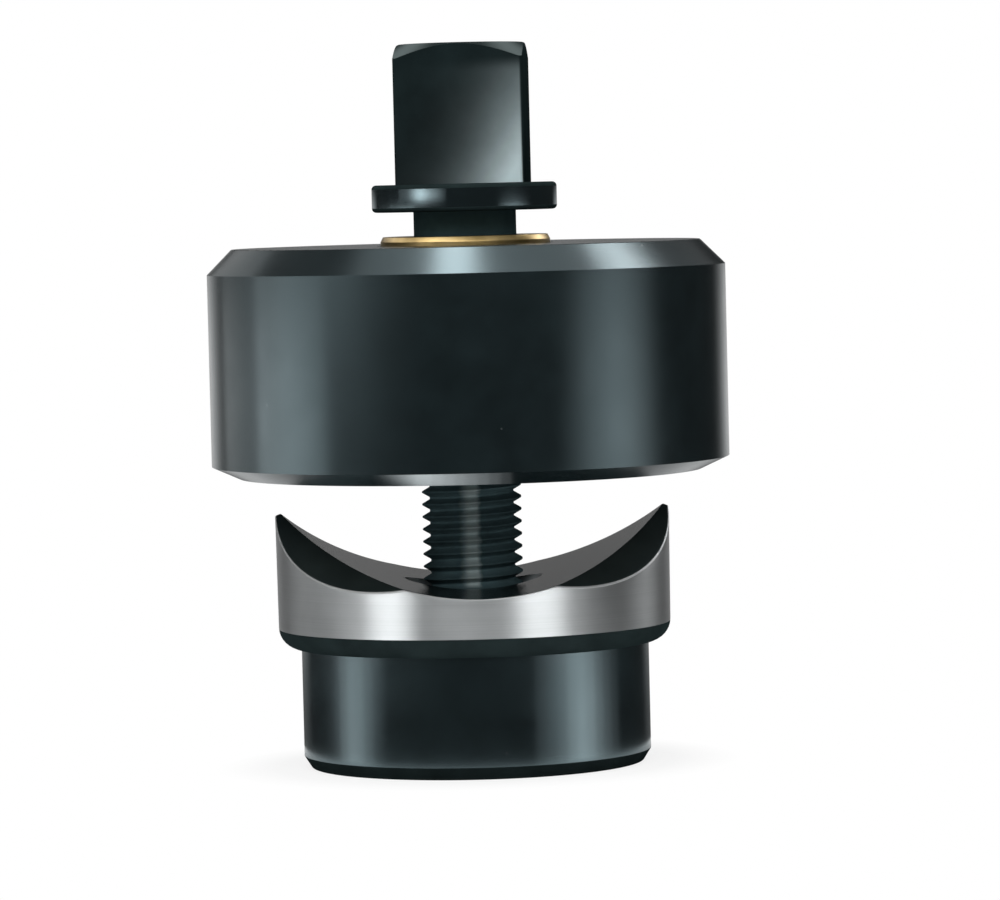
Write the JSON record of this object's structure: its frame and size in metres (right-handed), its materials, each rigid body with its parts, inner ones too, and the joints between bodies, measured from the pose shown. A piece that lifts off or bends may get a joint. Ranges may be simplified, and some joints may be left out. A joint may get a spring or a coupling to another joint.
{
  "type": "knockout punch",
  "caption": "Hand-turned sheet-metal hole punch: a square-headed draw screw pulls a two-tipped punch into a ring-shaped die.",
  "frame": {"origin": "centre of the punch's flat base", "axes": "+Z along the draw screw towards its head; the punch's two cutting tips lie on +X and -X; front is -Y"},
  "size_m": [0.0834, 0.0834, 0.1159],
  "materials": {
    "black_die": "black oxide, satin",
    "black_screw": "black oxide, satin",
    "punch_steel": "black oxide body with a ground cutting ring",
    "brass_race": "turned",
    "race_steel": "ground",
    "cage_brass": "pressed",
    "ball_steel": "polished"
  },
  "bodies": {
    "punch": {"punch": "punch_steel"},
    "die": {"die": "black_die", "bearing_lower_race": "race_steel"},
    "screw": {"screw": "black_screw"},
    "upper_race": {"bearing_upper_race": "brass_race"},
    "cage": {"bearing_cage": "cage_brass", "ball_01": "ball_steel", "ball_02": "ball_steel", "ball_03": "ball_steel", "ball_04": "ball_steel", "ball_05": "ball_steel", "ball_06": "ball_steel", "ball_07": "ball_steel", "ball_08": "ball_steel", "ball_09": "ball_steel", "ball_10": "ball_steel", "ball_11": "ball_steel", "ball_12": "ball_steel"}
  },
  "joints": [
    {"name": "die_draw", "type": "slide", "parent": "punch", "child": "die", "axis": [0, 0, -1], "range_m": [-0.016, 0.024]},
    {"name": "screw_turn", "type": "hinge", "parent": "die", "child": "screw", "pos_m": [0, 0, 0], "axis": [0, 0, -1], "range_deg": [-2881, 4321]},
    {"name": "race_turn", "type": "hinge", "parent": "die", "child": "upper_race", "pos_m": [0, 0, 0], "axis": [0, 0, -1], "continuous": true},
    {"name": "cage_turn", "type": "hinge", "parent": "die", "child": "cage", "pos_m": [0, 0, 0], "axis": [0, 0, -1], "continuous": true}
  ],
  "couplings": [
    {"joint": "screw_turn", "follows": "die_draw", "rad_per_m": 3141.6},
    {"joint": "cage_turn", "follows": "race_turn", "ratio": 0.5}
  ]
}
